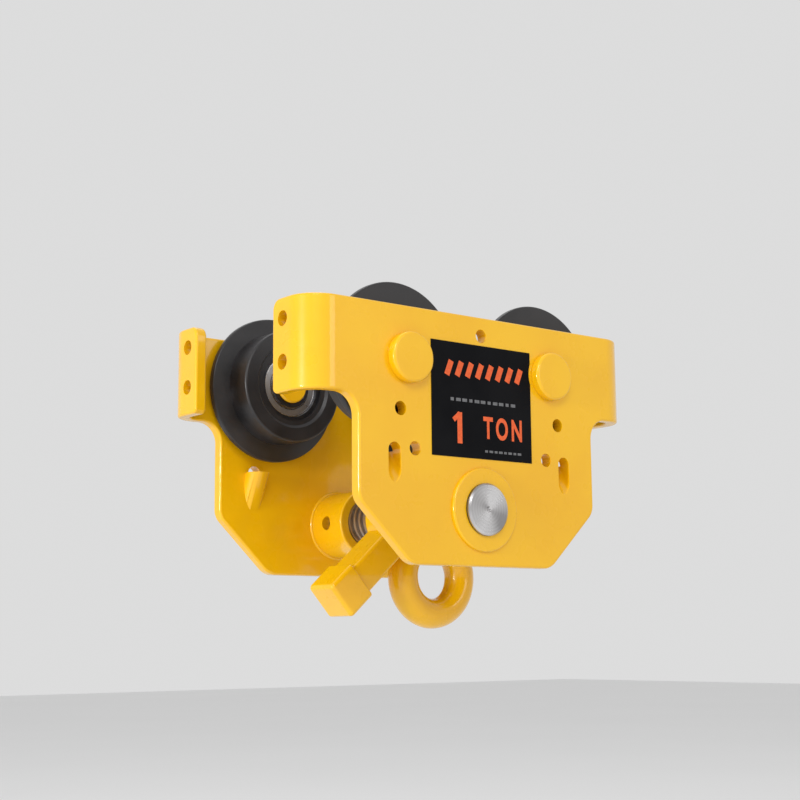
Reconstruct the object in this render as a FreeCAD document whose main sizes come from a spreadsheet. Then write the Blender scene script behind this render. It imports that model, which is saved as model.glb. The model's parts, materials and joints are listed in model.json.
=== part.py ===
"""Beam trolley: two bent side plates on four flanged wheels, drawn together by a double-ended screw spindle.

Millimetres. +X runs along the beam, +Y from the front (labelled) plate to the rear plate, +Z up. The origin
is midway between the plates and midway between the wheels, at the height of the surface the wheels roll on.
"""
import FreeCAD
import Part

import math
import os

import Sketcher

SIZES = {
    # side plates
    "plate_thick": 9.0,
    "plate_gap": 162.5,             # between the inner faces, set wide open
    "plate_half_length": 147.5,     # to the outside of an ear
    "plate_top": 78.0,
    "ear_bottom": 14.8,
    "ear_depth": 41.0,              # from the outer face to the end of the ear
    "ear_bend": 22.0,               # outside radius of the bend
    "body_half_width": 106.9,
    "body_side_end": -54.6,         # where the sloping lower corner starts
    "body_bottom": -96.3,
    "foot_half_width": 63.2,
    "corner_round": 13.0,           # where the sides meet the sloping lower corners
    "foot_round": 16.0,             # where the sloping lower corners meet the bottom edge
    "notch_round": 15.0,            # under an ear
    "ear_top_round": 7.5,
    "ear_bottom_round": 4.0,
    "edge_round": 1.8,
    # holes in the side plates
    "ear_hole_radius": 5.3,
    "ear_hole_inset": 12.0,         # from the end of the ear
    "ear_hole_height": 49.2,
    "ear_hole_spacing": 29.0,
    "side_hole_radius": 4.8,
    "upper_hole_x": 72.2,
    "upper_hole_z": 7.1,
    "lower_hole_x": 60.0,
    "lower_hole_z": -19.0,
    "top_hole_drop": 13.6,          # below the top edge
    # anti-drop lugs, half sheared out of the plate below the beam flange
    "lug_x": 77.4,
    "lug_top": -21.0,
    "lug_tall": 29.0,
    "lug_recess_tall": 21.5,
    "lug_reach": 14.0,
    "lug_radius": 8.5,
    "lug_wall": 3.3,
    # wheels and axles
    "wheel_spacing": 130.0,
    "tread_radius": 42.0,
    "rim_radius": 54.5,
    "rim_thick": 8.5,
    "wheel_width": 30.5,
    "wheel_clearance": 3.5,         # between the plate and the rim
    "axle_radius": 12.5,
    "axle_head_radius": 17.4,
    "axle_head_high": 6.4,
    "spacer_long": 14.0,
    "spacer_wall": 3.5,
    "bearing_outer_radius": 26.0,
    "bearing_width": 15.0,
    "pitch_radius": 19.25,
    "ball_radius": 3.95,
    "ball_clearance": 0.2,
    "shoulder_depth": 2.45,         # from the pitch circle to a ring's shoulder
    "shield_thick": 0.6,
    "clip_thick": 1.5,
    "clip_groove": 0.9,
    "clip_gap": 9.0,
    "clip_side_clearance": 0.1,
    # spindle, threaded bushes and hub
    "spindle_drop": 57.4,           # below the rolling surface
    "spindle_radius": 18.0,
    "spindle_proud": 5.7,           # past the outer faces, set wide open
    "running_clearance": 0.06,
    "bush_radius": 25.0,
    "bush_long": 38.0,              # inside the plate
    "bush_flange_radius": 29.0,
    "bush_flange_thick": 2.4,
    "grease_hole_radius": 5.2,
    "hub_radius": 25.0,
    "hub_long": 29.0,
    # load eye and lever, each leaning from straight down
    "eye_bar_radius": 11.0,
    "eye_ring_radius": 26.8,        # to the middle of the bar
    "eye_ring_drop": 49.6,          # from the spindle's axis to the ring's centre
    "eye_tilt": 32.2,
    "lever_bar_high": 22.5,
    "lever_bar_deep": 26.5,         # along the spindle
    "lever_offset": 2.7,            # of the lever's centre line from the spindle's axis
    "lever_head_start": 66.0,
    "lever_head_long": 24.0,
    "lever_head_high": 29.0,
    "lever_head_deep": 29.0,
    "lever_tilt": 48.5,
    # label
    "label_wide": 91.5,
    "label_top": 57.4,
    "label_bottom": -22.3,
    "label_thick": 0.4,
    "label_clearance": 3.2,         # round the axle heads
}
BALLS = 9

doc = FreeCAD.newDocument("beam_trolley")
sheet = doc.addObject("Spreadsheet::Sheet", "Sizes")


class Size:
    """A number together with the sheet expression that gives it."""

    def __init__(self, value, text):
        self.value = value
        self.text = text

    @staticmethod
    def of(other):
        return other if isinstance(other, Size) else Size(float(other), f"({float(other)!r})")

    def __add__(self, other):
        other = Size.of(other)
        return Size(self.value + other.value, f"({self.text} + {other.text})")

    def __sub__(self, other):
        other = Size.of(other)
        return Size(self.value - other.value, f"({self.text} - {other.text})")

    def __mul__(self, number):
        return Size(self.value * number, f"({self.text} * {number})")

    def __truediv__(self, number):
        return Size(self.value / number, f"({self.text} / {number})")

    def __neg__(self):
        return self * -1

    __radd__ = __add__

    def __rsub__(self, other):
        return Size.of(other) - self


class Dimensions:
    """Each size of the sheet by its alias."""


dim = Dimensions()
for row, (alias, number) in enumerate(SIZES.items(), start=1):
    sheet.set(f"A{row}", alias)
    sheet.set(f"B{row}", str(number))
    sheet.setAlias(f"B{row}", alias)
    setattr(dim, alias, Size(number, f"Sizes.{alias}"))
doc.recompute()

HALF_GAP = dim.plate_gap / 2
INNER_DEPTH = dim.ear_depth - dim.plate_thick
BEARING_START = dim.spacer_long
BEARING_END = BEARING_START + dim.bearing_width
CLIP_END = BEARING_END + dim.clip_thick
WHEEL_START = dim.wheel_clearance
WHEEL_END = WHEEL_START + dim.wheel_width
AXLE_END = WHEEL_END - 1.0


# ---------------------------------------------------------------- helpers

def tie(thing, name, size):
    """Bind one property or constraint of a feature to the sheet."""
    thing.setExpression(name, Size.of(size).text)


def new_body(name):
    body = doc.addObject("PartDesign::Body", name)
    body.Label = name
    return body


def place(thing, position, turn=0.0, axis=(0, 0, 1)):
    """Put a sub-part at a position of sizes, turned by whole or sheet-held degrees."""
    values = [Size.of(v).value for v in position]
    angle = Size.of(turn)
    rotation = FreeCAD.Rotation(FreeCAD.Vector(*axis), angle.value)
    thing.Placement = FreeCAD.Placement(FreeCAD.Vector(*values), rotation)
    for letter, size in zip("xyz", position):
        if isinstance(size, Size):
            tie(thing, f"Placement.Base.{letter}", size)
    if isinstance(turn, Size):
        tie(thing, "Placement.Rotation.Angle", turn)


def new_sketch(body, role, name, offset=None):
    """A sketch on one of the body's own origin planes, lifted off it by an offset if one is given."""
    sketch = body.newObject("Sketcher::SketchObject", name)
    plane = next(feature for feature in body.Origin.OriginFeatures if feature.Role == role)
    sketch.AttachmentSupport = (plane, [""])
    sketch.MapMode = "FlatFace"
    if offset is not None:
        tie(sketch, "AttachmentOffset.Base.z", offset)
    return sketch


def hold_point(sketch, geometry, vertex, across, up):
    """Hold one sketch point at its two distances from the origin."""
    for kind, zero_axis, size in (("DistanceX", -2, Size.of(across)), ("DistanceY", -1, Size.of(up))):
        if size.value == 0.0:
            sketch.addConstraint(Sketcher.Constraint("PointOnObject", geometry, vertex, zero_axis))
            continue
        index = sketch.addConstraint(Sketcher.Constraint(kind, -1, 1, geometry, vertex, size.value))
        tie(sketch, f"Constraints[{index}]", size)


def draw_outline(sketch, points):
    """A closed straight-sided outline whose corners are all held by the sheet."""
    corners = [FreeCAD.Vector(Size.of(a).value, Size.of(b).value, 0) for a, b in points]
    first = sketch.GeometryCount
    count = len(corners)
    for i in range(count):
        sketch.addGeometry(Part.LineSegment(corners[i], corners[(i + 1) % count]), False)
    for i in range(count):
        follower = first + (i + 1) % count
        sketch.addConstraint(Sketcher.Constraint("Coincident", first + i, 2, follower, 1))
    for i, (across, up) in enumerate(points):
        hold_point(sketch, first + i, 1, across, up)


def draw_circle(sketch, across, up, radius):
    radius = Size.of(radius)
    centre = FreeCAD.Vector(Size.of(across).value, Size.of(up).value, 0)
    circle = sketch.addGeometry(Part.Circle(centre, FreeCAD.Vector(0, 0, 1), radius.value), False)
    index = sketch.addConstraint(Sketcher.Constraint("Radius", circle, radius.value))
    tie(sketch, f"Constraints[{index}]", radius)
    hold_point(sketch, circle, 3, across, up)


def pad(body, sketch, length, reverse=False, both_ways=False):
    feature = body.newObject("PartDesign::Pad", sketch.Name + "_pad")
    feature.Profile = sketch
    tie(feature, "Length", length)
    feature.Reversed = reverse
    feature.Midplane = both_ways
    sketch.Visibility = False
    doc.recompute()
    return feature


def cut_through(body, sketch, both_ways=True, reverse=False):
    """Pocket a sketch right through, and make sure that it took something away."""
    before = body.Shape.Volume
    feature = body.newObject("PartDesign::Pocket", sketch.Name + "_pocket")
    feature.Profile = sketch
    feature.Type = "ThroughAll"
    feature.Midplane = both_ways
    feature.Reversed = reverse
    doc.recompute()
    if not body.Shape.Volume < before - 1e-6:
        raise RuntimeError(f"{feature.Name} cut nothing")
    return feature


def turn_profile(name, points):
    """A body turned about its own Y axis from an outline of (radius, distance along Y)."""
    body = new_body(name)
    sketch = new_sketch(body, "XY_Plane", name + "_profile")
    draw_outline(sketch, points)
    feature = body.newObject("PartDesign::Revolution", name + "_turned")
    feature.Profile = sketch
    feature.ReferenceAxis = (sketch, ["V_Axis"])
    feature.Angle = 360.0
    doc.recompute()
    return body


def ring(name, inner, outer, start, end):
    return turn_profile(name, [(inner, start), (outer, start), (outer, end), (inner, end)])


def round_edges(body, edges, radius, kind="Fillet"):
    """Round (or chamfer) the edges for which the test is true."""
    base = body.Tip
    names = [f"Edge{i}" for i, edge in enumerate(base.Shape.Edges, start=1) if edges(edge)]
    if not names:
        raise RuntimeError(f"no edge of {body.Name} matches")
    feature = body.newObject("PartDesign::" + kind, f"{body.Name}_{kind.lower()}")
    feature.Base = (base, names)
    tie(feature, "Radius" if kind == "Fillet" else "Size", radius)
    doc.recompute()
    return feature


def middle(edge):
    return edge.valueAt((edge.FirstParameter + edge.LastParameter) / 2)


def runs_along(edge, axis):
    """True for a straight edge along X, Y or Z."""
    if edge.Curve.TypeId != "Part::GeomLine":
        return False
    return abs(getattr(edge.Curve.Direction, axis)) > 0.999


def near(value, size):
    return abs(abs(value) - abs(Size.of(size).value)) < 0.05


def is_rim(radius, height):
    """A test for the circular edge of a turned body at one radius and one distance along Y."""
    def test(edge):
        if edge.Curve.TypeId != "Part::GeomCircle":
            return False
        same_size = abs(edge.Curve.Radius - Size.of(radius).value) < 0.05
        return same_size and abs(edge.Curve.Center.y - Size.of(height).value) < 0.05
    return test


def sharp_edges(shape):
    """The edges of a shape where two faces meet at an angle, told by their middle points."""
    found = []
    for edge in shape.Edges:
        point = middle(edge)
        normals = []
        for face in shape.ancestorsOfType(edge, Part.Face):
            u, v = face.Surface.parameter(point)
            normals.append(face.normalAt(u, v))
        if len(normals) == 2 and normals[0].getAngle(normals[1]) > math.radians(8):
            found.append(point)
    return found


# ---------------------------------------------------------------- side plates

def make_plate_wall(name, side_holes):
    """The bent plate: outer face at y = -thickness, inner face at y = 0, ears running inwards (+Y)."""
    body = new_body(name)
    face = new_sketch(body, "XZ_Plane", name + "_face", offset=-INNER_DEPTH)
    right_side = [
        (dim.foot_half_width, dim.body_bottom),
        (dim.body_half_width, dim.body_side_end),
        (dim.body_half_width, dim.ear_bottom),
        (dim.plate_half_length, dim.ear_bottom),
        (dim.plate_half_length, dim.plate_top),
    ]
    left_side = [(-across, up) for across, up in reversed(right_side)]
    draw_outline(face, right_side + left_side)
    pad(body, face, dim.ear_depth)

    inside = dim.plate_half_length - dim.plate_thick
    hollow = new_sketch(body, "XY_Plane", name + "_hollow")
    beyond = INNER_DEPTH + 5.0
    draw_outline(hollow, [(-inside, 0), (inside, 0), (inside, beyond), (-inside, beyond)])
    cut_through(body, hollow)

    def outer_bend(edge):
        at = middle(edge)
        return runs_along(edge, "z") and near(at.x, dim.plate_half_length) and near(at.y, dim.plate_thick)

    def inner_bend(edge):
        at = middle(edge)
        return runs_along(edge, "z") and near(at.x, inside) and abs(at.y) < 0.05

    def outline_corner(across, up):
        def test(edge):
            at = middle(edge)
            return runs_along(edge, "y") and near(at.x, across) and abs(at.z - up.value) < 0.05
        return test

    def ear_corner(up):
        def test(edge):
            at = middle(edge)
            at_end = abs(at.y - INNER_DEPTH.value) < 0.05
            return runs_along(edge, "x") and at_end and abs(at.z - up.value) < 0.05
        return test

    round_edges(body, outer_bend, dim.ear_bend)
    round_edges(body, inner_bend, dim.ear_bend - dim.plate_thick)
    round_edges(body, outline_corner(dim.body_half_width, dim.ear_bottom), dim.notch_round)
    round_edges(body, outline_corner(dim.body_half_width, dim.body_side_end), dim.corner_round)
    round_edges(body, outline_corner(dim.foot_half_width, dim.body_bottom), dim.foot_round)
    round_edges(body, ear_corner(dim.plate_top), dim.ear_top_round)
    round_edges(body, ear_corner(dim.ear_bottom), dim.ear_bottom_round)
    sharp = sharp_edges(body.Tip.Shape)
    round_edges(body, lambda edge: any(middle(edge).isEqual(p, 1e-4) for p in sharp), dim.edge_round)

    across_holes = new_sketch(body, "XZ_Plane", name + "_holes")
    for side in (-1, 1):
        if side_holes:
            draw_circle(across_holes, dim.upper_hole_x * side, dim.upper_hole_z, dim.side_hole_radius)
            draw_circle(across_holes, dim.lower_hole_x * side, dim.lower_hole_z, dim.side_hole_radius)
        draw_circle(across_holes, dim.wheel_spacing / 2 * side, dim.tread_radius, dim.axle_radius)
    draw_circle(across_holes, 0, dim.plate_top - dim.top_hole_drop, dim.side_hole_radius)
    draw_circle(across_holes, 0, -dim.spindle_drop, dim.bush_radius)
    cut_through(body, across_holes)

    ear_holes = new_sketch(body, "YZ_Plane", name + "_ear_holes")
    for side in (-1, 1):
        height = dim.ear_hole_height + dim.ear_hole_spacing / 2 * side
        draw_circle(ear_holes, INNER_DEPTH - dim.ear_hole_inset, height, dim.ear_hole_radius)
    cut_through(body, ear_holes)
    return body


def lean_of(run, rise):
    return math.degrees(math.atan(run.value / rise.value))


def slanting_bar(name, side, radius, reach, lean):
    """A round bar that leans out of the plate: its far side passes the reach at the lug's top."""
    bar = doc.addObject("Part::Cylinder", name)
    tie(bar, "Radius", radius)
    tie(bar, "Height", dim.lug_tall * 3)
    axis_at_top = reach.value - radius.value / math.cos(math.radians(lean))
    foot = FreeCAD.Vector(0, -math.tan(math.radians(lean)), -1) * (dim.lug_tall.value * 2)
    top = FreeCAD.Vector(dim.lug_x.value * side, axis_at_top, dim.lug_top.value)
    bar.Placement = FreeCAD.Placement(top + foot, FreeCAD.Rotation(FreeCAD.Vector(1, 0, 0), -lean))
    return bar


def block(name, low, high):
    """A plain box between two corners of plain numbers."""
    box = doc.addObject("Part::Box", name)
    box.Length, box.Width, box.Height = [b - a for a, b in zip(low, high)]
    box.Placement.Base = FreeCAD.Vector(*low)
    return box


def combine(kind, name, base, tool):
    feature = doc.addObject("Part::" + kind, name)
    feature.Base = base
    feature.Tool = tool
    return feature


def make_lug(name, side):
    """One lug: a half-round nose inside the plate and the recess that its metal was pushed out of."""
    top = dim.lug_top.value
    bottom = top - dim.lug_tall.value * 1.2
    outside = -dim.plate_thick.value
    middle_x = dim.lug_x.value * side
    nose_half = dim.lug_radius.value
    core_radius = dim.lug_radius - dim.lug_wall
    core_half = core_radius.value

    nose_lean = lean_of(dim.lug_reach, dim.lug_tall)
    nose_bar = slanting_bar(name + "_nose_bar", side, dim.lug_radius, dim.lug_reach, nose_lean)
    nose_room = block(name + "_nose_room", (middle_x - 2 * nose_half, outside / 2, bottom),
                      (middle_x + 2 * nose_half, 2 * dim.lug_reach.value, top))
    nose = combine("Common", name + "_nose", nose_bar, nose_room)

    core_reach = dim.lug_reach - dim.lug_wall * 2
    core_lean = lean_of(core_reach + dim.plate_thick, dim.lug_recess_tall)
    core_bar = slanting_bar(name + "_core_bar", side, core_radius, core_reach, core_lean)
    slot = doc.addObject("Part::Box", name + "_slot")
    slot.Length = 2 * core_half
    slot.Width = 3 * dim.lug_reach.value
    slot.Height = dim.lug_tall.value * 3
    slot.Placement = core_bar.Placement.multiply(
        FreeCAD.Placement(FreeCAD.Vector(-core_half, -slot.Width.Value, 0), FreeCAD.Rotation()))
    core_solid = combine("Fuse", name + "_core_solid", core_bar, slot)
    core_room = block(name + "_core_room", (middle_x - 2 * core_half, outside - 5, bottom - nose_half),
                      (middle_x + 2 * core_half, dim.lug_reach.value, top))
    core = combine("Common", name + "_core", core_solid, core_room)
    crown = doc.addObject("Part::Cylinder", name + "_crown")
    tie(crown, "Radius", core_radius)
    tie(crown, "Height", dim.plate_thick + 5)
    crown.Placement = FreeCAD.Placement(FreeCAD.Vector(middle_x, outside - 5, top),
                                        FreeCAD.Rotation(FreeCAD.Vector(1, 0, 0), -90))
    recess = combine("Fuse", name + "_recess", core, crown)
    return nose, recess


def make_side_plate(name, side_holes):
    """A finished side plate with its two lugs, in its own frame."""
    wall = make_plate_wall(name + "_wall", side_holes)
    left_nose, left_recess = make_lug(name + "_left_lug", -1)
    right_nose, right_recess = make_lug(name + "_right_lug", 1)
    with_noses = doc.addObject("Part::MultiFuse", name + "_with_noses")
    with_noses.Shapes = [wall, left_nose, right_nose]
    recesses = doc.addObject("Part::MultiFuse", name + "_recesses")
    recesses.Shapes = [left_recess, right_recess]
    plate = combine("Cut", name, with_noses, recesses)
    plate.Label = name
    doc.recompute()
    return plate


# ---------------------------------------------------------------- spindle, bushes and hub

def make_bush(name):
    """A flanged threaded bush welded into its plate; its flange sits on the plate's outer face."""
    bore = dim.spindle_radius + dim.running_clearance
    face = -dim.plate_thick
    body = turn_profile(name, [
        (bore, face - dim.bush_flange_thick),
        (dim.bush_flange_radius, face - dim.bush_flange_thick),
        (dim.bush_flange_radius, face),
        (dim.bush_radius, face),
        (dim.bush_radius, dim.bush_long),
        (bore, dim.bush_long),
    ])
    round_edges(body, is_rim(dim.bush_flange_radius, face - dim.bush_flange_thick), 1.4)
    round_edges(body, is_rim(dim.bush_radius, dim.bush_long), 1.6)
    grease_hole = new_sketch(body, "YZ_Plane", name + "_grease_hole")
    draw_circle(grease_hole, dim.bush_long / 2, 0, dim.grease_hole_radius)
    cut_through(body, grease_hole, both_ways=False, reverse=True)
    return body


def make_spindle():
    """The double-ended spindle, with a centre mark in each end."""
    half = HALF_GAP + dim.plate_thick + dim.spindle_proud
    chamfer = 1.2
    mark_radius = 2.4
    mark_deep = 2.8
    body = turn_profile("spindle", [
        (0, -half + mark_deep),
        (mark_radius, -half),
        (dim.spindle_radius - chamfer, -half),
        (dim.spindle_radius, -half + chamfer),
        (dim.spindle_radius, half - chamfer),
        (dim.spindle_radius - chamfer, half),
        (mark_radius, half),
        (0, half - mark_deep),
    ])
    place(body, (0, 0, -dim.spindle_drop))
    return body


def make_hub():
    """The sleeve at the middle of the spindle that carries the lever and the load eye."""
    half = dim.hub_long / 2
    body = ring("hub", dim.spindle_radius + dim.running_clearance, dim.hub_radius, -half, half)
    round_edges(body, is_rim(dim.hub_radius, half), 3.0)
    round_edges(body, is_rim(dim.hub_radius, -half), 3.0)
    place(body, (0, 0, -dim.spindle_drop))
    return body


def make_load_eye():
    """A round bar bent into a ring; the hub and the lever bar sit in seats cut into it."""
    body = new_body("load_eye")
    section = new_sketch(body, "XY_Plane", "eye_bar_section", offset=-dim.eye_ring_drop)
    draw_circle(section, dim.eye_ring_radius, 0, dim.eye_bar_radius)
    bend = body.newObject("PartDesign::Revolution", "eye_ring")
    bend.Profile = section
    bend.ReferenceAxis = (section, ["V_Axis"])
    bend.Angle = 360.0
    doc.recompute()
    hub_seat = new_sketch(body, "XZ_Plane", "eye_hub_seat")
    draw_circle(hub_seat, 0, 0, dim.hub_radius)
    cut_through(body, hub_seat)
    lever_seat = new_sketch(body, "XZ_Plane", "eye_lever_seat")
    low, high = dim.lever_offset - dim.lever_bar_high / 2, dim.lever_offset + dim.lever_bar_high / 2
    draw_outline(lever_seat, [(low, 0), (high, 0), (high, -dim.lever_head_start), (low, -dim.lever_head_start)])
    tie(lever_seat, "AttachmentOffset.Rotation.Angle", -(dim.lever_tilt + dim.eye_tilt))
    doc.recompute()
    cut_through(body, lever_seat)
    place(body, (0, 0, -dim.spindle_drop), -dim.eye_tilt, (0, 1, 0))
    return body


def hanging_bar(name, high, deep, start, end):
    """A rectangular bar hanging down its body's Z axis from one depth to another."""
    body = new_body(name)
    section = new_sketch(body, "XY_Plane", name + "_section", offset=-end)
    low_side, high_side = dim.lever_offset - high / 2, dim.lever_offset + high / 2
    half = deep / 2
    draw_outline(section, [(low_side, -half), (high_side, -half), (high_side, half), (low_side, half)])
    pad(body, section, end - start)
    return body


def make_lever():
    """The turning lever: a square bar on the hub, and the square head on the bar's end."""
    bar = hanging_bar("lever_bar", dim.lever_bar_high, dim.lever_bar_deep, Size.of(0), dim.lever_head_start)
    round_edges(bar, lambda edge: runs_along(edge, "z"), 2.6)
    hub_seat = new_sketch(bar, "XZ_Plane", "lever_bar_hub_seat")
    draw_circle(hub_seat, 0, 0, dim.hub_radius)
    cut_through(bar, hub_seat)
    head_end = dim.lever_head_start + dim.lever_head_long
    head = hanging_bar("lever_head", dim.lever_head_high, dim.lever_head_deep, dim.lever_head_start, head_end)
    round_edges(head, lambda edge: runs_along(edge, "z"), 3.2)
    round_edges(head, lambda edge: near(middle(edge).z, head_end), 3.2)
    round_edges(head, lambda edge: near(middle(edge).z, dim.lever_head_start), 1.2)
    for piece in (bar, head):
        place(piece, (0, 0, -dim.spindle_drop), dim.lever_tilt, (0, 1, 0))
    return [bar, head]


# ---------------------------------------------------------------- wheels, axles and bearings

def make_wheel(name):
    """A flanged wheel: rim beside the plate, tread inwards, bearing seat open to the inside."""
    bore = dim.bearing_outer_radius
    groove = bore + dim.clip_groove + 0.3
    seat_end = BEARING_END - dim.clip_side_clearance
    clip_room = CLIP_END + dim.clip_side_clearance
    rim_end = WHEEL_START + dim.rim_thick
    body = turn_profile(name, [
        (bore - 6.5, WHEEL_START + 1.5),
        (bore + 8, WHEEL_START + 1.5),
        (bore + 11, WHEEL_START),
        (dim.rim_radius, WHEEL_START),
        (dim.rim_radius, rim_end - 3.5),
        (dim.tread_radius + 4.5, rim_end - 0.8),
        (dim.tread_radius, rim_end),
        (dim.tread_radius, WHEEL_END),
        (bore + 5.5, WHEEL_END),
        (bore + 3.5, WHEEL_END - 1.6),
        (bore, WHEEL_END - 1.6),
        (bore, clip_room),
        (groove, clip_room),
        (groove, seat_end),
        (bore, seat_end),
        (bore, BEARING_START),
        (bore - 6.5, BEARING_START),
    ])
    round_edges(body, is_rim(dim.rim_radius, WHEEL_START), 1.6)
    round_edges(body, is_rim(dim.rim_radius, rim_end - 3.5), 1.6)
    round_edges(body, is_rim(dim.tread_radius, WHEEL_END), 2.0)
    return body


def make_axle(name):
    """A headed axle pressed through the plate, grooved near its inner end for a circlip."""
    face = -dim.plate_thick
    groove_radius = dim.axle_radius - dim.clip_groove
    groove_start = BEARING_END - dim.clip_side_clearance
    groove_end = CLIP_END + dim.clip_side_clearance
    body = turn_profile(name, [
        (0, face - dim.axle_head_high),
        (dim.axle_head_radius, face - dim.axle_head_high),
        (dim.axle_head_radius, face),
        (dim.axle_radius, face),
        (dim.axle_radius, groove_start),
        (groove_radius, groove_start),
        (groove_radius, groove_end),
        (dim.axle_radius, groove_end),
        (dim.axle_radius, AXLE_END - 1.0),
        (dim.axle_radius - 1.0, AXLE_END),
        (0, AXLE_END),
    ])
    round_edges(body, is_rim(dim.axle_head_radius, face - dim.axle_head_high), 2.2)
    return body


def make_race_ring(name, inner, outer):
    """A bearing ring: a plain ring with the ball groove turned into it."""
    body = ring(name, inner, outer, BEARING_START, BEARING_END)
    track = new_sketch(body, "XY_Plane", name + "_track")
    centre = BEARING_START + dim.bearing_width / 2
    draw_circle(track, dim.pitch_radius, centre, dim.ball_radius + dim.ball_clearance)
    before = body.Shape.Volume
    groove = body.newObject("PartDesign::Groove", name + "_groove")
    groove.Profile = track
    groove.ReferenceAxis = (track, ["V_Axis"])
    groove.Angle = 360.0
    doc.recompute()
    if not body.Shape.Volume < before - 1e-6:
        raise RuntimeError(f"{name} has no ball track")
    return body


def make_balls(name):
    """The ring of balls, each a solid of its own."""
    centre = BEARING_START + dim.bearing_width / 2
    spots = []
    for i in range(BALLS):
        angle = 2 * math.pi * i / BALLS
        spots.append(FreeCAD.Vector(dim.pitch_radius.value * math.cos(angle), centre.value,
                                    dim.pitch_radius.value * math.sin(angle)))
    balls = doc.addObject("Part::Feature", name)
    balls.Label = name
    balls.Shape = Part.makeCompound([Part.makeSphere(dim.ball_radius.value, spot) for spot in spots])
    return balls


def make_cage(name):
    """The band that spaces the balls, with a round pocket for each."""
    centre = BEARING_START + dim.bearing_width / 2
    half = dim.ball_radius + 0.9
    wall = 0.8
    body = ring(name, dim.pitch_radius - wall, dim.pitch_radius + wall, centre - half, centre + half)
    hole = new_sketch(body, "YZ_Plane", name + "_pocket_circle")
    draw_circle(hole, centre, 0, dim.ball_radius + 0.15)
    pocket = cut_through(body, hole, both_ways=False, reverse=True)
    pattern = body.newObject("PartDesign::PolarPattern", name + "_pockets")
    pattern.Originals = [pocket]
    pattern.Axis = (next(f for f in body.Origin.OriginFeatures if f.Role == "Y_Axis"), [""])
    pattern.Angle = 360.0
    pattern.Occurrences = BALLS
    body.Tip = pattern
    doc.recompute()
    return body


def make_shields(name):
    """The two thin washers that close a bearing, held by its outer ring."""
    inner = dim.pitch_radius - dim.shoulder_depth + 0.4
    outer = dim.pitch_radius + dim.shoulder_depth
    inset = 0.4
    far_start = BEARING_END - inset - dim.shield_thick
    washers = [
        ring(f"{name}_{which}_washer", inner, outer, start, start + dim.shield_thick)
        for which, start in (("plate_side", BEARING_START + inset), ("inner_side", far_start))
    ]
    shields = doc.addObject("Part::Compound", name)
    shields.Label = name
    shields.Links = washers
    return shields


def make_circlip(name, inner, outer):
    """A flat spring clip with a gap at the top."""
    body = ring(name, inner, outer, BEARING_END, CLIP_END)
    opening = new_sketch(body, "XZ_Plane", name + "_opening")
    half = dim.clip_gap / 2
    draw_outline(opening, [(-half, 0), (half, 0), (half, outer + 5), (-half, outer + 5)])
    cut_through(body, opening)
    return body


# ---------------------------------------------------------------- label

def make_label(name):
    """The rating label on the front plate, cut round the two axle heads."""
    body = new_body(name)
    face = new_sketch(body, "XZ_Plane", name + "_face", offset=dim.plate_thick)
    half = dim.label_wide / 2
    draw_outline(face, [(-half, dim.label_bottom), (half, dim.label_bottom),
                        (half, dim.label_top), (-half, dim.label_top)])
    pad(body, face, dim.label_thick)
    notch = new_sketch(body, "XZ_Plane", name + "_axle_room")
    for side in (-1, 1):
        room = dim.axle_head_radius + dim.label_clearance
        draw_circle(notch, dim.wheel_spacing / 2 * side, dim.tread_radius, room)
    cut_through(body, notch)
    return body


# ---------------------------------------------------------------- assembly

HALF_TURN = 180.0


def make_plate_group(which, side):
    """A side plate and its bush, on the front (-1) or the rear (+1); only the front has side holes."""
    turn = HALF_TURN if side > 0 else 0.0
    plate = make_side_plate(f"side_plate_{which}", side_holes=side < 0)
    place(plate, (0, HALF_GAP * side, 0), turn)
    bush = make_bush(f"bush_{which}")
    place(bush, (0, HALF_GAP * side, -dim.spindle_drop), turn)
    return [plate, bush]


def make_wheel_group(which, side, hand, across):
    """One wheel with everything on its axle, at the left (-1) or the right (+1) of a plate."""
    corner = f"{which}_{hand}"
    shoulder_in = dim.pitch_radius - dim.shoulder_depth
    shoulder_out = dim.pitch_radius + dim.shoulder_depth
    clip_cover = 3.2
    pieces = [
        make_wheel(f"wheel_{corner}"),
        make_axle(f"axle_{corner}"),
        ring(f"spacer_{corner}", dim.axle_radius, dim.axle_radius + dim.spacer_wall, 0, dim.spacer_long),
        make_race_ring(f"bearing_inner_{corner}", dim.axle_radius, shoulder_in),
        make_race_ring(f"bearing_outer_{corner}", shoulder_out, dim.bearing_outer_radius),
        make_shields(f"bearing_shields_{corner}"),
        make_circlip(f"axle_circlip_{corner}", dim.axle_radius - dim.clip_groove + 0.05,
                     dim.axle_radius + clip_cover),
        make_circlip(f"bore_circlip_{corner}", dim.bearing_outer_radius - clip_cover,
                     dim.bearing_outer_radius + dim.clip_groove),
        make_balls(f"bearing_balls_{corner}"),
        make_cage(f"bearing_cage_{corner}"),
    ]
    for piece in pieces:
        place(piece, (dim.wheel_spacing / 2 * across, HALF_GAP * side, dim.tread_radius),
              HALF_TURN if side > 0 else 0.0)
    return pieces


def make_trolley():
    nodes = [make_spindle(), make_hub(), make_load_eye(), *make_lever()]
    for which, side in (("front", -1), ("rear", 1)):
        nodes += make_plate_group(which, side)
        for hand, across in (("left", -1), ("right", 1)):
            nodes += make_wheel_group(which, side, hand, across)
    label = make_label("rating_label")
    place(label, (0, -HALF_GAP, 0))
    nodes.append(label)
    doc.recompute()
    return nodes


def export(nodes):
    """Check every feature and every sub-part, then write one STEP file for each sub-part."""
    for feature in doc.Objects:
        if "Invalid" in feature.State or "Error" in feature.State:
            raise RuntimeError(f"{feature.Name} failed: {feature.State}")
    for node in nodes:
        if node.Shape.isNull() or not node.Shape.isValid():
            raise RuntimeError(f"{node.Label} has no valid shape")
    os.makedirs("parts", exist_ok=True)
    for node in nodes:
        node.Shape.exportStep(f"parts/{node.Label}.step")
    print(len(nodes), "sub-parts written")


export(make_trolley())
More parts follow.
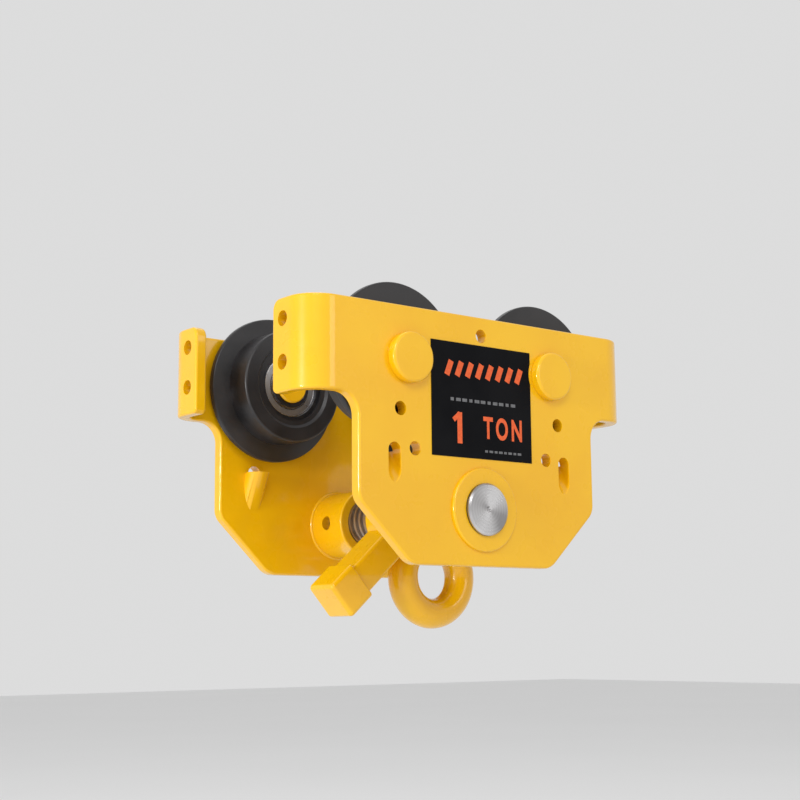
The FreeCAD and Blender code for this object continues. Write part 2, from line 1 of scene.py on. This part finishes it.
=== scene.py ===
"""Looks of the beam trolley: enamelled plates, cast wheels, threaded spindle and printed label.

Metres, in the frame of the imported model: +X along the beam, +Y from the front plate to the rear
plate, +Z up.
"""
import json
import math

import bpy
from mathutils import Matrix, Vector

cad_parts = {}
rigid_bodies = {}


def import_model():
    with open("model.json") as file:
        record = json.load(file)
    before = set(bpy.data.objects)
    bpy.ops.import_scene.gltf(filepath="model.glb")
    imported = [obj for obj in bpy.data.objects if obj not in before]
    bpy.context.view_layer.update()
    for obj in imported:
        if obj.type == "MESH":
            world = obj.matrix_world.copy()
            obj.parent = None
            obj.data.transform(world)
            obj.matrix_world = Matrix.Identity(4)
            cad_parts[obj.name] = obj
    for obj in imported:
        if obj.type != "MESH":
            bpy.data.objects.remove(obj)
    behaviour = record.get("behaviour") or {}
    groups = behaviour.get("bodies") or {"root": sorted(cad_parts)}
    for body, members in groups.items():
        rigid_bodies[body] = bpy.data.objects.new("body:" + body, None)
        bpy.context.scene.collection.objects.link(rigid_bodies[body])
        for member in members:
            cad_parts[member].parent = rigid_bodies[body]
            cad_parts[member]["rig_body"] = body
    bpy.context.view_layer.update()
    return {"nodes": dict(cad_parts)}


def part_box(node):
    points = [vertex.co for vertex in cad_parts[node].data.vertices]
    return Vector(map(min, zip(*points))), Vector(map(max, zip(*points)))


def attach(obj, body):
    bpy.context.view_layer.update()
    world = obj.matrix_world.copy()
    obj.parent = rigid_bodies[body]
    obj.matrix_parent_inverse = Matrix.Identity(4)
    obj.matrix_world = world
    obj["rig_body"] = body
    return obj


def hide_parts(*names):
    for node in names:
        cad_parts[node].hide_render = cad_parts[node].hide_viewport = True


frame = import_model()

MM = 0.001
ROUND = 96                      # sides of a turned piece
CORNERS = [(which, hand) for which in ("front", "rear") for hand in ("left", "right")]
NODES = frame["nodes"]


def centre_of(node):
    low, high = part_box(node)
    return (low + high) / 2


SPINDLE_AXIS = centre_of("spindle")
SPINDLE_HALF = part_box("spindle")[1].y - SPINDLE_AXIS.y
SPINDLE_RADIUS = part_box("spindle")[1].x - SPINDLE_AXIS.x


# ---------------------------------------------------------------- shader maths

class Wire:
    """A value that changes over a surface; Python's operators add the Math nodes."""

    def __init__(self, recipe, socket):
        self.recipe = recipe
        self.socket = socket

    def maths(self, operation, *others):
        values = dict(enumerate((self, *others)))
        return self.recipe.node("ShaderNodeMath", {"operation": operation}, values)

    def __add__(self, other):
        return self.maths("ADD", other)

    def __mul__(self, other):
        return self.maths("MULTIPLY", other)

    def sine(self):
        return self.maths("SINE")

    def bearing(self, other):
        """The angle whose tangent is this value over the other."""
        return self.maths("ARCTAN2", other)

    def ramp(self, low, high, start=0.0, end=1.0):
        """Follow the value from start at low to end at high, and stay flat outside."""
        inputs = {0: self, 1: low, 2: high, 3: start, 4: end}
        return self.recipe.node("ShaderNodeMapRange", {"clamp": True}, inputs)


class Recipe:
    """One material: a Principled shader, its fixed finish, and the nodes that feed it."""

    def __init__(self, name, **finish):
        self.material = bpy.data.materials.new(name)
        self.material.use_nodes = True
        self.tree = self.material.node_tree
        self.shader = self.tree.nodes["Principled BSDF"]
        for setting, value in finish.items():
            socket = setting.replace("_", " ").title().replace("Ior", "IOR")
            self.shader.inputs[socket].default_value = value
        self.place = self.node("ShaderNodeTexCoord", {}, {}, "Object")

    def node(self, kind, settings, inputs, output=0):
        made = self.tree.nodes.new(kind)
        for name, value in settings.items():
            setattr(made, name, value)
        for name, value in inputs.items():
            if isinstance(value, Wire):
                self.tree.links.new(value.socket, made.inputs[name])
            else:
                made.inputs[name].default_value = value
        return Wire(self, made.outputs[output])

    def feed(self, socket, wire):
        self.tree.links.new(wire.socket, self.shader.inputs[socket])

    def noise(self, scale, detail):
        """Soft random values about 0.5; scale is in patches per metre."""
        inputs = {"Vector": self.place, "Scale": scale, "Detail": detail}
        return self.node("ShaderNodeTexNoise", {}, inputs, "Fac")

    def blend(self, mask, first, second):
        """The first colour where the mask is 0 and the second where it is 1."""
        settings = {"data_type": "RGBA", "clamp_factor": True}
        return self.node("ShaderNodeMix", settings, {0: mask, 6: first, 7: second}, 2)

    def bumps(self, height, distance, strength):
        """Raise the surface by a height pattern; distance is in metres."""
        inputs = {"Height": height, "Distance": distance, "Strength": strength}
        self.feed("Normal", self.node("ShaderNodeBump", {}, inputs, "Normal"))

    def about(self, centre):
        """Object coordinates measured from a point."""
        inputs = {0: self.place, 1: tuple(centre)}
        return self.node("ShaderNodeVectorMath", {"operation": "SUBTRACT"}, inputs)

    def radius_from(self, centre):
        """Distance from the line along Y through a point."""
        flat = self.node("ShaderNodeVectorMath", {"operation": "MULTIPLY"},
                         {0: self.about(centre), 1: (1.0, 0.0, 1.0)})
        return self.node("ShaderNodeVectorMath", {"operation": "LENGTH"}, {0: flat}, "Value")


# ---------------------------------------------------------------- materials

def enamel():
    """Thick glossy yellow enamel with a little orange peel and cloudiness."""
    paint = Recipe("yellow_enamel", coat_weight=0.8, coat_roughness=0.06, specular_ior_level=0.25)
    cloud = paint.noise(14.0, 3.0)
    peel = paint.noise(420.0, 1.0)
    ripple = paint.noise(70.0, 2.0)
    warm, bright = (0.82, 0.43, 0.001, 1), (0.86, 0.48, 0.002, 1)
    paint.feed("Base Color", paint.blend(cloud.ramp(0.35, 0.65), warm, bright))
    paint.feed("Roughness", ripple.ramp(0.3, 0.7, 0.24, 0.36))
    paint.bumps(peel * 0.12 + ripple, 0.00016, 0.4)
    return paint.material


def cast_black():
    """Satin black over a cast and turned wheel."""
    black = Recipe("satin_black", specular_ior_level=0.45, coat_weight=0.15, coat_roughness=0.3)
    grain = black.noise(900.0, 3.0)
    patch = black.noise(45.0, 3.0)
    deep, worn = (0.009, 0.008, 0.009, 1), (0.020, 0.018, 0.019, 1)
    black.feed("Base Color", black.blend(patch.ramp(0.3, 0.7), deep, worn))
    black.feed("Roughness", patch.ramp(0.3, 0.7, 0.36, 0.5))
    black.bumps(grain, 0.00012, 0.5)
    return black.material


def turned_steel(name, centre):
    """Turned steel: fine tool rings about a line along Y as bumps. Bright and dark fans are painted
    into the colour by the angle about that line, as a painted reflection standing in for the
    highlights the rings throw.

    tool_feed and chatter are the steps between rings, in metres.
    """
    tool_feed = 0.00042
    chatter = 0.0023
    painted_glint_fan_turn = 0.7
    steel = Recipe(name, metallic=1.0)
    radius = steel.radius_from(centre)
    tool_marks = (radius * (2 * math.pi / tool_feed)).sine()
    uneven_marks = (radius * (2 * math.pi / chatter)).sine()
    across, up = (steel.node("ShaderNodeSeparateXYZ", {}, {0: steel.about(centre)}, axis)
                  for axis in ("X", "Z"))
    # painted reflection: the colour turns bright and dark with the angle about the axis, in place of
    # the highlights of the turned rings
    painted_glint_fan = (across.bearing(up) * 2 + painted_glint_fan_turn).sine()
    painted_glint_and_tone = painted_glint_fan * 0.36 + uneven_marks * 0.05 + steel.noise(40.0, 2.0)
    # the dark and bright steel of the painted reflection fans; the chatter rings and the noise add
    # real tone on top
    dark, bright = (0.27, 0.26, 0.26, 1), (0.74, 0.73, 0.73, 1)
    steel.feed("Base Color", steel.blend(painted_glint_and_tone.ramp(0.1, 0.9), dark, bright))
    steel.feed("Roughness", painted_glint_and_tone.ramp(0.1, 0.9, 0.34, 0.24))
    steel.bumps(tool_marks, 0.000008, 1.0)
    return steel.material


def thread_steel():
    """Oiled thread: greyer and browner than the turned ends."""
    steel = Recipe("oiled_thread_steel", metallic=1.0)
    toning = steel.noise(90.0, 4.0)
    scuff = steel.noise(700.0, 3.0)
    oily, wiped = (0.34, 0.28, 0.23, 1), (0.50, 0.46, 0.43, 1)
    steel.feed("Base Color", steel.blend(toning.ramp(0.3, 0.7), oily, wiped))
    steel.feed("Roughness", scuff.ramp(0.3, 0.7, 0.3, 0.5))
    steel.bumps(scuff, 0.00004, 0.5)
    return steel.material


def plain_metal(name, light, dark, roughness):
    """A small metal part: two close tones, and fine grain."""
    metal = Recipe(name, metallic=1.0)
    tone = metal.noise(160.0, 3.0)
    fine = metal.noise(1500.0, 2.0)
    metal.feed("Base Color", metal.blend(tone.ramp(0.35, 0.65), light, dark))
    metal.feed("Roughness", tone.ramp(0.3, 0.7, roughness - 0.05, roughness + 0.08))
    metal.bumps(fine, 0.00002, 0.5)
    return metal.material


def label_film():
    """Matt black printed film."""
    film = Recipe("label_black_film", specular_ior_level=0.04)
    haze = film.noise(30.0, 3.0)
    grain = film.noise(1800.0, 2.0)
    black, rubbed = (0.004, 0.004, 0.005, 1), (0.008, 0.008, 0.009, 1)
    film.feed("Base Color", film.blend(haze.ramp(0.3, 0.7), black, rubbed))
    film.feed("Roughness", haze.ramp(0.3, 0.7, 0.5, 0.62))
    film.bumps(grain, 0.00002, 0.4)
    return film.material


def label_ink(name, colour, faded):
    """Screen-printed ink, a little uneven."""
    ink = Recipe(name, specular_ior_level=0.2)
    uneven = ink.noise(600.0, 3.0)
    ink.feed("Base Color", ink.blend(uneven.ramp(0.35, 0.75), colour, faded))
    ink.feed("Roughness", uneven.ramp(0.3, 0.7, 0.4, 0.55))
    ink.bumps(uneven, 0.00001, 0.4)
    return ink.material


YELLOW = enamel()
BLACK = cast_black()
END_STEEL = turned_steel("turned_end_steel", SPINDLE_AXIS)
THREAD = thread_steel()
BEARING = plain_metal("ground_bearing_steel", (0.66, 0.66, 0.67, 1), (0.56, 0.56, 0.57, 1), 0.2)
SHIELD = plain_metal("pressed_shield_steel", (0.44, 0.44, 0.45, 1), (0.36, 0.36, 0.37, 1), 0.32)
SPRING = plain_metal("blackened_spring_steel", (0.07, 0.07, 0.075, 1), (0.045, 0.045, 0.05, 1),
                     0.38)
CAGE = plain_metal("brass_cage", (0.72, 0.5, 0.2, 1), (0.6, 0.4, 0.15, 1), 0.3)
SPACER = plain_metal("spacer_steel", (0.55, 0.54, 0.53, 1), (0.45, 0.44, 0.43, 1), 0.34)
FILM = label_film()
ORANGE_INK = label_ink("orange_ink", (0.80, 0.13, 0.035, 1), (0.66, 0.10, 0.03, 1))
GREY_INK = label_ink("grey_ink", (0.16, 0.16, 0.165, 1), (0.11, 0.11, 0.115, 1))


# ---------------------------------------------------------------- modelling helpers

MERGE_DISTANCE = 0.000002
FLAT_ANGLE = math.radians(0.3)  # faces this near to one plane become one face
EDGE_ANGLE = math.radians(50)   # edges sharper than this are eased
PAINT_ROUND = 0.0007            # how far thick paint eases an edge


def only(thing):
    """Select one object and make it the active one."""
    bpy.ops.object.select_all(action="DESELECT")
    thing.select_set(True)
    bpy.context.view_layer.objects.active = thing


def apply_modifier(thing, kind, **settings):
    only(thing)
    modifier = thing.modifiers.new(kind.lower(), kind)
    for name, value in settings.items():
        setattr(modifier, name, value)
    bpy.ops.object.modifier_apply(modifier=modifier.name)


def settle(thing):
    """Put an object's place into its mesh."""
    only(thing)
    bpy.ops.object.transform_apply(location=True, rotation=True, scale=True)


def finish_piece(thing, name, body, material, replaced=(), angle=32):
    """Name a piece, smooth it, give it its material, and let it ride on its body."""
    settle(thing)
    bpy.ops.object.shade_smooth_by_angle(angle=math.radians(angle))
    apply_modifier(thing, "WEIGHTED_NORMAL", keep_sharp=True, weight=80)
    thing.name = name
    thing.data.name = name
    thing.data.materials.clear()
    thing.data.materials.append(material)
    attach(thing, body)
    if replaced:
        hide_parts(*replaced)


def body_of(node):
    return NODES[node]["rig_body"]


def finer_copy(node, name, material, edge_round=0.0):
    """A CAD node's own shape as one joined mesh, with whole flat faces and smooth bends.

    Sharp edges are eased by edge_round.
    """
    copy = NODES[node].copy()
    copy.data = NODES[node].data.copy()
    for key in list(copy.keys()):
        del copy[key]
    copy.parent = None
    bpy.context.scene.collection.objects.link(copy)
    only(copy)
    bpy.ops.object.mode_set(mode="EDIT")
    bpy.ops.mesh.select_all(action="SELECT")
    bpy.ops.mesh.customdata_custom_splitnormals_clear()
    bpy.ops.mesh.remove_doubles(threshold=MERGE_DISTANCE)
    bpy.ops.mesh.dissolve_limited(angle_limit=FLAT_ANGLE)
    bpy.ops.object.mode_set(mode="OBJECT")
    if edge_round:
        apply_modifier(copy, "BEVEL", width=edge_round, segments=2, limit_method="ANGLE",
                       angle_limit=EDGE_ANGLE, use_clamp_overlap=True)
    finish_piece(copy, name, body_of(node), material, [node])


def turned(stations, axis_point):
    """A piece turned on a lathe about the line along Y through a point.

    It starts as one ring and is drawn out through its (radius, y) stations, and each end is closed.
    """
    radius, y = stations[0]
    bpy.ops.mesh.primitive_circle_add(vertices=ROUND, radius=radius, rotation=(math.pi / 2, 0, 0),
                                      location=(axis_point.x, y, axis_point.z))
    piece = bpy.context.object
    settle(piece)
    bpy.ops.object.mode_set(mode="EDIT")
    bpy.ops.mesh.select_all(action="SELECT")
    for next_radius, next_y in stations[1:]:
        bpy.ops.mesh.extrude_edges_move(TRANSFORM_OT_translate={"value": (0, next_y - y, 0)})
        grow = next_radius / radius
        bpy.ops.transform.resize(value=(grow, 1, grow),
                                 center_override=(axis_point.x, next_y, axis_point.z))
        radius, y = next_radius, next_y
    bpy.ops.mesh.select_all(action="SELECT")
    bpy.ops.mesh.remove_doubles(threshold=MERGE_DISTANCE)
    bpy.ops.mesh.fill_holes(sides=0)
    bpy.ops.mesh.normals_make_consistent(inside=False)
    bpy.ops.object.mode_set(mode="OBJECT")
    return piece


# ---------------------------------------------------------------- parts that keep their CAD shape

PAINTED = ["side_plate_front", "side_plate_rear", "bush_front", "bush_rear", "hub", "load_eye",
           "lever_bar", "lever_head"] + [f"axle_{which}_{hand}" for which, hand in CORNERS]
for painted in PAINTED:
    finer_copy(painted, painted + "_painted", YELLOW, edge_round=PAINT_ROUND)

WHEEL_SET = {"spacer": SPACER, "bearing_inner": BEARING, "bearing_outer": BEARING,
             "bearing_balls": BEARING, "bearing_cage": CAGE, "bearing_shields": SHIELD,
             "axle_circlip": SPRING, "bore_circlip": SPRING, "wheel": BLACK}
for which, hand in CORNERS:
    for part, material in WHEEL_SET.items():
        finer_copy(f"{part}_{which}_{hand}", f"{part}_{which}_{hand}_finished", material)
finer_copy("rating_label", "rating_label_film", FILM)


# ---------------------------------------------------------------- spindle

COLLAR = 0.0024                 # unthreaded end of the spindle
END_CHAMFER = 0.0012
CENTRE_MARK_RADIUS = 0.0023
CENTRE_MARK_DEEP = 0.0026
POINT_RADIUS = 0.0002           # the bottom of the centre mark
CREST = SPINDLE_RADIUS - 0.0001
ROOT = SPINDLE_RADIUS - 0.0030
PITCH = 0.006
CREST_FLAT = 0.0023
FLANK = 0.0008                  # the slope of a thread, measured along the spindle
ROOT_FLAT = PITCH - CREST_FLAT - 2 * FLANK
TURNS = 15
STEPS_IN_A_TURN = 40


def spindle_core():
    """The spindle without its threads: a core with a turned collar and a centre mark at each end."""
    tip = [(POINT_RADIUS, SPINDLE_HALF - CENTRE_MARK_DEEP),
           (CENTRE_MARK_RADIUS, SPINDLE_HALF),
           (SPINDLE_RADIUS - END_CHAMFER, SPINDLE_HALF),
           (SPINDLE_RADIUS, SPINDLE_HALF - END_CHAMFER),
           (SPINDLE_RADIUS, SPINDLE_HALF - COLLAR),
           (ROOT, SPINDLE_HALF - COLLAR)]
    stations = [(radius, -y) for radius, y in tip] + list(reversed(tip))
    core = turned(stations, SPINDLE_AXIS)
    finish_piece(core, "spindle_core", body_of("spindle"), END_STEEL,
                 ["spindle"])


def thread_half(name, side):
    """The trapezoidal thread of one half, wound out from the hub.

    side is 1 for the rear half and -1 for the front half, and the two have opposite hands. The
    profile is one point drawn round a tooth, wound about the Y axis, and then moved to the spindle.
    """
    start = SPINDLE_HALF - COLLAR / 2 - (TURNS + 1) * PITCH
    tooth = CREST - ROOT
    bpy.ops.mesh.primitive_plane_add(size=1, location=(0, 0, 0))
    profile = bpy.context.object
    bpy.ops.object.mode_set(mode="EDIT")
    bpy.ops.mesh.select_all(action="SELECT")
    bpy.ops.mesh.merge(type="CENTER")
    bpy.ops.transform.translate(value=(ROOT, start * side, 0))
    for out, along in ((0, ROOT_FLAT), (tooth, FLANK), (0, CREST_FLAT), (-tooth, FLANK)):
        bpy.ops.mesh.extrude_vertices_move(TRANSFORM_OT_translate={"value": (out, along * side, 0)})
    bpy.ops.object.mode_set(mode="OBJECT")
    apply_modifier(profile, "SCREW", axis="Y", angle=2 * math.pi * side, screw_offset=PITCH * side,
                   iterations=TURNS, steps=STEPS_IN_A_TURN, render_steps=STEPS_IN_A_TURN,
                   use_merge_vertices=True, use_normal_calculate=True)
    profile.location = (SPINDLE_AXIS.x, 0, SPINDLE_AXIS.z)
    settle(profile)
    finish_piece(profile, name, body_of("spindle"), THREAD, angle=40)


spindle_core()
thread_half("spindle_thread_rear", 1)
thread_half("spindle_thread_front", -1)


# ---------------------------------------------------------------- welds

PLATE_THICK = 0.009
BUSH_RADIUS = 0.025
BEAD_RADIUS = 0.0016


def weld_bead(name, which):
    """The bead that holds a bush in the inner face of its plate."""
    low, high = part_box(f"side_plate_{which}")
    inner_face = low.y + PLATE_THICK if which == "front" else high.y - PLATE_THICK
    bpy.ops.mesh.primitive_torus_add(major_radius=BUSH_RADIUS, minor_radius=BEAD_RADIUS,
                                     major_segments=ROUND, minor_segments=16,
                                     rotation=(math.pi / 2, 0, 0),
                                     location=(SPINDLE_AXIS.x, inner_face, SPINDLE_AXIS.z))
    bush = f"bush_{which}"
    finish_piece(bpy.context.object, name, body_of(bush), YELLOW)


weld_bead("bush_weld_front", "front")
weld_bead("bush_weld_rear", "rear")


# ---------------------------------------------------------------- print on the label

LABEL_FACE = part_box("rating_label")[0].y
INK_THICK = 0.00006
INK_LAYER = 0.000012


def print_on_label(thing, name, ink):
    finish_piece(thing, name, body_of("rating_label"), ink)


def fit_to_label(thing, across, up):
    """Stretch a flat piece over a range of x and a range of z on the face of the label."""
    settle(thing)
    corners = [vertex.co for vertex in thing.data.vertices]
    low = Vector([min(corner[i] for corner in corners) for i in range(3)])
    high = Vector([max(corner[i] for corner in corners) for i in range(3)])
    size = high - low
    scale_x = (across[1] - across[0]) / size.x
    scale_y = INK_THICK / size.y
    scale_z = (up[1] - up[0]) / size.z
    thing.scale = (scale_x, scale_y, scale_z)
    settle(thing)
    thing.location = (across[0] - low.x * scale_x, LABEL_FACE - high.y * scale_y,
                      up[0] - low.z * scale_z)


def print_words(words, name, across, up):
    """Orange capitals over a range of x and a range of z, in metres."""
    bpy.ops.object.text_add(rotation=(math.pi / 2, 0, 0))
    text = bpy.context.object
    text.data.body = words
    text.data.extrude = 0.05
    text.data.offset = 0.03
    text.data.space_character = 1.4
    bpy.ops.object.convert(target="MESH")
    fit_to_label(bpy.context.object, across, up)
    print_on_label(bpy.context.object, name, ORANGE_INK)


def print_bars(name, ink, bars):
    """Plain bars, each with its middle x, middle z, width and height in millimetres, and its lean.

    Each lies a hair above the last, so that bars that cross don't share a face.
    """
    made = []
    for layer, (across, up, wide, high, lean) in enumerate(bars):
        middle = LABEL_FACE - INK_THICK / 2 - layer * INK_LAYER
        bpy.ops.mesh.primitive_cube_add(size=MM, location=(across * MM, middle, up * MM),
                                        rotation=(0, math.radians(lean), 0),
                                        scale=(wide, INK_THICK / MM, high))
        made.append(bpy.context.object)
    for bar in made:
        bar.select_set(True)
    bpy.context.view_layer.objects.active = made[0]
    bpy.ops.object.join()
    print_on_label(made[0], name, ink)


def bar_row(count, start, step, up, wide, high, lean=0, short=None, every=1):
    """A row of bars for print_bars; where short is given, one bar in every few is that wide."""
    widths = [short if short and i % every == 0 else wide for i in range(count)]
    return [(start + step * i, up, widths[i], high, lean) for i in range(count)]


STEM = (-21.0, -2.0, 4.3, 21.6, 0)
FLAG = (-23.6, 5.6, 3.4, 7.6, 50)
print_bars("rating_number", ORANGE_INK, [STEM, FLAG])
print_words("TON", "rating_unit", across=(0.0005, 0.0366), up=(-0.0080, 0.0078))
print_bars("label_stripes", ORANGE_INK,
           bar_row(8, start=-30, step=9.2, up=39.0, wide=4.6, high=11.0, lean=22))
print_bars("label_caption", GREY_INK,
           bar_row(11, start=-27.5, step=5.6, up=17.5, wide=4.2, high=2.2, short=2.8, every=3))
print_bars("label_small_print", GREY_INK,
           bar_row(8, start=3.0, step=4.4, up=-16.7, wide=3.4, high=1.6, short=2.6, every=2))


# ---------------------------------------------------------------- floor, light and camera

FLOOR_SIZE = 14
FLOOR_HEIGHT = -0.42
SURROUND_STRENGTH = 0.72
LIGHT_TARGET = Vector((0, 0, -0.03))

# name, place, width in metres, power in watts
PANELS = [
    ("key_panel", (-1.4, -1.9, 1.5), 1.0, 20.0),
    ("front_panel", (0.9, -2.4, 0.5), 0.9, 5.0),
    ("side_panel", (-2.3, -0.3, 0.1), 0.4, 26.0),
    ("top_panel", (0.3, 0.6, 2.2), 1.2, 9.0),
]

CAMERA_PLACE = (-0.6815, -0.8642, -0.1465)
CAMERA_YAW = math.radians(38.19)
CAMERA_PITCH = math.radians(9.17)
CAMERA_ROLL = math.radians(-0.48)
CAMERA_LENS = 67.4              # millimetres, on a sensor 36 mm wide


def studio():
    """A flat pale floor, and a pale surround all about."""
    bpy.ops.mesh.primitive_plane_add(size=FLOOR_SIZE, location=(0, 0, FLOOR_HEIGHT))
    floor = bpy.context.object
    floor.name = "studio_floor"
    surface = Recipe("studio_white", roughness=0.7)
    mottle = surface.noise(2.0, 1.0)
    surface.feed("Base Color", surface.blend(mottle, (0.78, 0.78, 0.78, 1), (0.80, 0.80, 0.80, 1)))
    floor.data.materials.append(surface.material)

    world = bpy.data.worlds.new("studio_surround")
    world.use_nodes = True
    background = world.node_tree.nodes["Background"]
    background.inputs["Color"].default_value = (1, 1, 1, 1)
    background.inputs["Strength"].default_value = SURROUND_STRENGTH
    bpy.context.scene.world = world


def light_panel(name, place, wide, power):
    """A square soft light that faces the trolley."""
    light = bpy.data.lights.new(name, "AREA")
    light.size = wide
    light.energy = power
    lamp = bpy.data.objects.new(name, light)
    lamp.location = place
    lamp.rotation_euler = (LIGHT_TARGET - lamp.location).to_track_quat("-Z", "Y").to_euler()
    bpy.context.scene.collection.objects.link(lamp)


def camera():
    """Below the wheels and to the left, looking slightly up at the front plate."""
    level_forward = Vector((math.sin(CAMERA_YAW), math.cos(CAMERA_YAW), 0))
    level_right = Vector((math.cos(CAMERA_YAW), -math.sin(CAMERA_YAW), 0))
    forward = level_forward * math.cos(CAMERA_PITCH) + Vector((0, 0, math.sin(CAMERA_PITCH)))
    level_up = level_right.cross(forward)
    right = level_right * math.cos(CAMERA_ROLL) + level_up * math.sin(CAMERA_ROLL)
    up = level_up * math.cos(CAMERA_ROLL) - level_right * math.sin(CAMERA_ROLL)
    data = bpy.data.cameras.new("viewpoint")
    data.sensor_width = 36.0
    data.lens = CAMERA_LENS
    eye = bpy.data.objects.new("viewpoint", data)
    turn = Matrix((right, up, -forward)).transposed()
    eye.matrix_world = Matrix.Translation(CAMERA_PLACE) @ turn.to_4x4()
    bpy.context.scene.collection.objects.link(eye)
    bpy.context.scene.camera = eye


studio()
for panel in PANELS:
    light_panel(*panel)
camera()
bpy.context.scene.view_settings.view_transform = "Standard"
